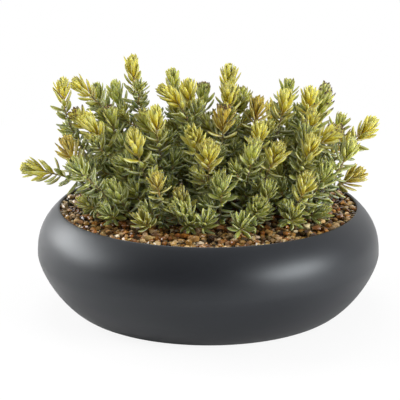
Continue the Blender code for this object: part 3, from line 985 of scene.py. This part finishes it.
def leaf_kind(old):
    """The shape of a leaf of this age."""
    if old < YOUNG_UNTIL:
        return YOUNG_LEAF
    return OLD_LEAF if old > SICKLE_UNTIL else SICKLE_LEAF


def grow_leaves(bm, line, turn, layers, habit):
    """Every leaf of one stem, from its growing point down to the lowest one. A stem of some
    age has at its growing point the leaves that others have that many millimetres below."""
    below = 0
    count = 0
    while line.length - below * MM > habit.lowest:
        base, axis = line.at(line.length - below * MM)
        old = below / habit.reach + habit.age
        spread = habit.openness * read_table(SPREAD, old)
        spread += CHANCE.uniform(-SPREAD_CHANCE, SPREAD_CHANCE)
        twist = math.radians(CHANCE.uniform(-TWIST_CHANCE, TWIST_CHANCE))
        length = habit.size * read_table(LENGTH, old) * CHANCE.uniform(*LENGTH_CHANCE)
        width = habit.size * read_table(WIDTH, old) * CHANCE.uniform(*WIDE_CHANCE)
        stretch = Matrix.Diagonal((width, length, width, 1))
        tint = CHANCE.random()
        for steeper in STEEPER:
            slant = math.radians(max(LEAST_SPREAD, spread - steeper))
            place = leaf_matrix(base, axis, turn, slant, twist)
            if has_room(place, length * LEAF_LENGTH):
                youth = habit.freshness * read_table(YOUTH, old)
                values = ((layers["youth"], youth), (layers["tint"], tint),
                          (layers["scorch"], youth * habit.scorch))
                leaf = leaf_kind(old).copy()
                leaf.transform(place @ stretch)
                move_into(bm, leaf, values)
                count += 1
                break
        turn += GOLDEN_ANGLE + math.radians(CHANCE.uniform(-TURN_CHANCE, TURN_CHANCE))
        below += habit.size * read_table(GAP, old) * CHANCE.uniform(*GAP_CHANCE)
    return count


# %% [markdown]
# Below its head a stem also carries short side shoots, each with a small green tuft of its
# own. They fill the mound from the gravel up, where the main heads leave gaps. The larger side
# shoots, low at the edge of the planting, are the ones that the model shows. A side shoot is a
# stem like any other, so it is grown by the same two functions, on a thinner line.

# %% Side shoots
SHOOT_FROM = 5.5 * MM          # the model's shoots leave their stem here, above the gravel
FIRST_SHOOT = 46 * MM          # below the growing point
SHOOT_SPACING = 14 * MM
SPACING_CHANCE = (0.8, 1.2)
LOWEST_SHOOT = 10 * MM         # above the gravel
SHOOT_LENGTH = (20 * MM, 32 * MM)
SHOOT_CHORD = (38, 56)         # degrees from the stem
SHOOT_STEM = 0.75              # of its sprig's thickness
SHOOT_ABOVE_BED = 8 * MM       # small side shoots end at least this high
MOUND_RADIUS = 138 * MM        # and inside this
SETTING_OUT = 0.4              # of its stem's way, in how a side shoot leaves it
HEADING = (0.5, 0.6, 0.55)     # of its stem's way, of up and of outwards, at its end


def shoot_line(base, axis, turn):
    """The line of a side shoot: out of the stem at a slant, then up."""
    out = way_out(axis, turn)
    chord = math.radians(CHANCE.uniform(*SHOOT_CHORD))
    reach = CHANCE.uniform(*SHOOT_LENGTH)
    end = base + (axis * math.cos(chord) + out * math.sin(chord)) * reach
    setting_out = (axis * SETTING_OUT + out).normalized()
    onward, upward, outward = HEADING
    heading = (axis * onward + UP * upward + out * outward).normalized()
    return StemLine(base, setting_out, end, heading)


def model_shoot_line(base, growing_point, heading):
    """The line of a side shoot that the model shows."""
    level = growing_point - base
    level.z = 0
    return StemLine(base, (level.normalized() + UP / 2).normalized(), growing_point, heading)


def fits(line):
    """Whether a shoot stays inside the mound and above the gravel."""
    end = line.points[-1]
    return end.z > GRAVEL_TOP + SHOOT_ABOVE_BED and off_axis(end) < MOUND_RADIUS


def grow_shoot(bm, shoot, turn, layers, habit):
    """One side shoot, its stem and leaves; returns how many leaves it has."""
    start, axis = shoot.at(0)
    grow_stem(bm, shoot, start - axis * STEM_RADIUS / 2, layers, SHOOT_STEM)
    return grow_leaves(bm, shoot, turn, layers, habit)


def grow_shoots(bm, line, turn, layers):
    """All the small side shoots of one stem; returns how many leaves they have."""
    count = 0
    height = max(line.length - FIRST_SHOOT, LOWEST_SHOOT)
    while height >= LOWEST_SHOOT:
        shoot = shoot_line(*line.at(height), turn)
        if fits(shoot):
            count += grow_shoot(bm, shoot, turn, layers, shoot_habit(SMALL_SHOOT, SMALL_REACH))
        turn += GOLDEN_ANGLE
        height -= SHOOT_SPACING * CHANCE.uniform(*SPACING_CHANCE)
    return count


# %% Grow one sprig
LAYERS = ("along", "rim", "youth", "tint", "scorch", "wood")
LINE_START = 0.5 * MM          # above the gravel, where a stem starts to bend


def grow_sprig(name, turn):
    """One sprig as a mesh, with the values that its finish reads, and its count of leaves."""
    foot, buds = SPRIGS[name]
    ground = Vector((foot.x, foot.y, GRAVEL_TOP + LINE_START))
    line = StemLine(ground, UP, *buds[0])
    bm = bmesh.new()
    layers = {key: bm.verts.layers.float.new(key) for key in LAYERS}
    grow_stem(bm, line, foot, layers)
    count = grow_leaves(bm, line, turn, layers, main_habit(name, line.points[-1]))
    count += grow_shoots(bm, line, turn, layers)
    for bud in buds[1:]:
        shoot = model_shoot_line(line.at(SHOOT_FROM)[0], *bud)
        count += grow_shoot(bm, shoot, turn, layers, shoot_habit(LOW_SHOOT))
    return bm, count


# %% [markdown]
# The heads differ in tone from sprig to sprig: gold, lime, green and bronze, as the model's
# record lists them. The older leaves of all of them are green, some warm and some cool. Every
# leaf has a paler rim, partly its own pale margin and partly a painted highlight where the edge
# catches the light, and the points of many young ones are scorched brown.
#
# A finish a leaf would be thousands of materials, and an image would need each leaf unwrapped.
# One finish a tone is enough, because what differs is written in the mesh: how young a leaf is,
# its tint, and how far along it and how near its rim each point lies.

# %% The leaves' finishes
OLD_BASE = (0.27, 0.24, 0.045)
OLD_BLADE = (0.235, 0.25, 0.025)
OLD_TIP = (0.28, 0.30, 0.075)
# the old leaves' rim colour is partly a pale margin and partly a painted highlight on the edge
OLD_RIM_HIGHLIGHT = (0.66, 0.70, 0.50)
COOL_BLADE = (0.15, 0.21, 0.09)
# the young leaves' rim colour is partly a pale margin and partly a painted highlight on the edge
YOUNG_RIM_HIGHLIGHT = (0.58, 0.56, 0.26)
TIP_BROWN = (0.045, 0.02, 0.01)
YOUNG_WOOD = (0.45, 0.30, 0.10)
OLD_WOOD = (0.23, 0.20, 0.12)
TONES = {
    "gold_sprig": ((0.48, 0.29, 0.012), (0.54, 0.45, 0.03), (0.58, 0.55, 0.14)),
    "lime_sprig": ((0.38, 0.34, 0.035), (0.44, 0.46, 0.075), (0.52, 0.54, 0.18)),
    "green_sprig": ((0.32, 0.29, 0.04), (0.30, 0.33, 0.07), (0.36, 0.40, 0.12)),
    "bronze_sprig": ((0.36, 0.18, 0.02), (0.40, 0.28, 0.035), (0.44, 0.35, 0.07)),
}


def leaf_finish(name, amber, blade, pale):
    """A waxy leaf with a paler rim, partly its own margin and partly painted highlight, and a
    dark
    point: amber at its base and then its tone while it is young, and green once it is old. Where
    the mesh says wood, it is the stem's bark."""
    finish = Finish(name)
    along = finish.attribute("along")
    youth = finish.attribute("youth")
    young = finish.ramp(along, [(0.0, amber), (0.45, blade), (0.85, pale)])
    old = finish.ramp(along, [(0.0, OLD_BASE), (0.35, OLD_BLADE), (0.9, OLD_TIP)])
    tint = finish.attribute("tint")
    cool = finish.greys(tint, [(0.0, 0.9), (0.35, 0.0), (0.65, 0.8), (1.0, 0.1)])
    old = finish.mix(cool, old, COOL_BLADE)
    leaf = finish.mix(youth, old, young)
    # painted highlight: the paler rim is partly the leaf's own margin and partly light caught on
    # its edge
    rim = finish.greys(finish.attribute("rim"), [(0.74, 0.0), (0.95, 1.0)])
    leaf = finish.mix(rim, leaf, finish.mix(youth, OLD_RIM_HIGHLIGHT, YOUNG_RIM_HIGHLIGHT))
    point = finish.greys(along, [(0.81, 0.0), (0.92, 1.0)])
    scorched = finish.mix(finish.attribute("scorch"), leaf, TIP_BROWN)
    leaf = finish.mix(point, leaf, scorched)
    wood = finish.mix(youth, OLD_WOOD, YOUNG_WOOD)
    skin = finish.mix(finish.attribute("wood"), leaf, wood)
    mottle = finish.greys(finish.noise(260, detail=3), [(0.3, 0.82), (0.7, 1.1)])
    skin = finish.mix(1.0, skin, mottle, "MULTIPLY")
    value = finish.remap(tint, 0.75, 1.22)
    skin = finish.node("HueSaturation", {"Value": value, "Color": skin}).outputs["Color"]
    finish.fill(finish.shader, {
        "Base Color": skin,
        "Roughness": 0.42,
        "Specular IOR Level": 0.25,
        "Subsurface Weight": 0.6,
        "Subsurface Radius": (1.0, 0.85, 0.25),
        "Subsurface Scale": 4 * MM,
    })
    finish.bump(finish.noise(700, detail=2), 0.15, 0.2 * MM)
    return finish


leaf_finishes = {slot: leaf_finish(slot, *colours) for slot, colours in TONES.items()}
print("leaf finishes:", *leaf_finishes)

# %% Grow them all
FIRST_TURN = 1.3               # each sprig starts turned by this from the one before
leaf_total = 0
face_total = 0
for number, name in enumerate(SPRIGS):
    bm, count = grow_sprig(name, number * FIRST_TURN)
    slot = SLOTS[name]
    sprig = new_piece(name.replace("sprig", "leafy_sprig"), bm, leaf_finishes[slot])
    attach(sprig, "root")
    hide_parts(name)
    leaf_total += count
    face_total += len(sprig.data.polygons)
print(len(SPRIGS), "sprigs with", leaf_total, "leaves and", face_total, "faces")
